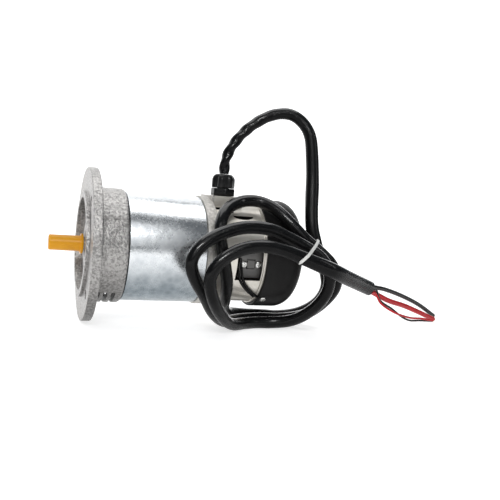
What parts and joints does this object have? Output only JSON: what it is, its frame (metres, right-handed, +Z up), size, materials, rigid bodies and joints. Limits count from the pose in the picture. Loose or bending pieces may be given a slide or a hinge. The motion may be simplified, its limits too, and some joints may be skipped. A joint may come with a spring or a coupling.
{
  "type": "electric motor",
  "caption": "Brushed DC flange motor: cast drive-end flange, plated tube, cream rear end shield with brush windows, black rear cover, cable gland and a coiled sleeved lead.",
  "frame": {"origin": "middle of the motor between the tip of the shaft sleeve and the rear cover, at the bottom of the flange", "axes": "-X along the shaft out of the flange, +X to the rear cover, +Z up to the cable gland"},
  "size_m": [0.4935, 0.1871, 0.2432],
  "materials": {
    "lamination": "plain",
    "brake_steel": "plain",
    "coil_copper": "plain",
    "brake_plate_steel": "plain",
    "hub_steel": "plain",
    "magnet_steel": "plain",
    "brake_screw_steel": "plain",
    "brake_spring_steel": "plain",
    "carbon": "plain",
    "holder_plastic": "plain",
    "brush_board": "plain",
    "spring_steel": "plain",
    "sleeve_pvc": "plain",
    "coil_pvc": "plain",
    "tail_pvc": "plain",
    "tie_nylon": "plain",
    "commutator_copper": "plain",
    "screw_steel": "plain",
    "ferrite": "plain",
    "cast_aluminium": "sand cast, bare",
    "friction": "plain",
    "bearing_inner_steel": "plain",
    "bearing_steel": "plain",
    "gland_nylon": "plain",
    "gland_nut_nylon": "plain",
    "gland_rubber": "plain",
    "holder_screw_steel": "plain",
    "zinc_plate": "bright zinc plate",
    "cover_black": "fine moulded texture",
    "shield_cast": "sand cast, bare, warm grey",
    "shaft_steel": "plain",
    "seal_rubber": "plain",
    "sleeve_amber": "moulded, translucent amber",
    "zinc_bolt": "plain",
    "copper_winding": "plain",
    "wire_black_thick_pvc": "plain",
    "wire_black_thin_pvc": "plain",
    "wire_red_thick_pvc": "plain",
    "wire_red_thin_pvc": "plain"
  },
  "bodies": {
    "motor": {"brake_coil": "coil_copper", "brake_counter_plate": "brake_plate_steel", "brake_magnet": "magnet_steel", "brake_screw_1": "brake_screw_steel", "brake_screw_2": "brake_screw_steel", "brake_screw_3": "brake_screw_steel", "brake_spring_1": "brake_spring_steel", "brake_spring_2": "brake_spring_steel", "brake_spring_3": "brake_spring_steel", "brush_holder_far": "holder_plastic", "brush_holder_near": "holder_plastic", "brush_ring": "brush_board", "cable_arch": "sleeve_pvc", "cable_coil": "coil_pvc", "cable_tail": "tail_pvc", "cable_tie": "tie_nylon", "cover_screw_1": "screw_steel", "cover_screw_2": "screw_steel", "field_magnet_far": "ferrite", "field_magnet_near": "ferrite", "flange_bell": "cast_aluminium", "front_bearing_outer": "bearing_steel", "gland_body": "gland_nylon", "gland_nut": "gland_nut_nylon", "gland_seal": "gland_rubber", "holder_screw_far_1": "holder_screw_steel", "holder_screw_far_2": "holder_screw_steel", "holder_screw_near_1": "holder_screw_steel", "holder_screw_near_2": "holder_screw_steel", "motor_tube": "zinc_plate", "rear_bearing_outer": "bearing_steel", "rear_cover": "cover_black", "rear_shield": "shield_cast", "shaft_seal": "seal_rubber", "tie_bolt_1": "zinc_bolt", "tie_bolt_2": "zinc_bolt", "wire_black_thick": "wire_black_thick_pvc", "wire_black_thin": "wire_black_thin_pvc", "wire_red_thick": "wire_red_thick_pvc", "wire_red_thin": "wire_red_thin_pvc"},
    "rotor": {"shaft": "shaft_steel", "armature_core": "lamination", "winding_front": "copper_winding", "winding_rear": "copper_winding", "commutator": "commutator_copper", "front_bearing_inner": "bearing_inner_steel", "rear_bearing_inner": "bearing_inner_steel", "brake_hub": "hub_steel", "friction_disc": "friction"},
    "shaft_sleeve": {"shaft_sleeve": "sleeve_amber"},
    "brush_near": {"brush_near": "carbon", "brush_spring_near": "spring_steel"},
    "brush_far": {"brush_far": "carbon", "brush_spring_far": "spring_steel"},
    "brake_plate": {"brake_armature_plate": "brake_steel"}
  },
  "joints": [
    {"name": "rotor_spin", "type": "hinge", "parent": "motor", "child": "rotor", "pos_m": [0, 0, 0.08], "axis": [1, 0, 0], "continuous": true},
    {"name": "sleeve_pull", "type": "slide", "parent": "rotor", "child": "shaft_sleeve", "axis": [-1, 0, 0], "range_m": [0, 0.036]},
    {"name": "brush_near_slide", "type": "slide", "parent": "motor", "child": "brush_near", "axis": [0, -0.9816, -0.1908], "range_m": [0, 0.005], "stiffness_N_per_m": 150, "springref_m": -0.02},
    {"name": "brush_far_slide", "type": "slide", "parent": "motor", "child": "brush_far", "axis": [0, 0.9816, 0.1908], "range_m": [0, 0.005], "stiffness_N_per_m": 150, "springref_m": -0.02},
    {"name": "brake_plate_slide", "type": "slide", "parent": "motor", "child": "brake_plate", "axis": [1, 0, 0], "range_m": [0, 0.0003], "stiffness_N_per_m": 4000, "springref_m": -0.005}
  ]
}
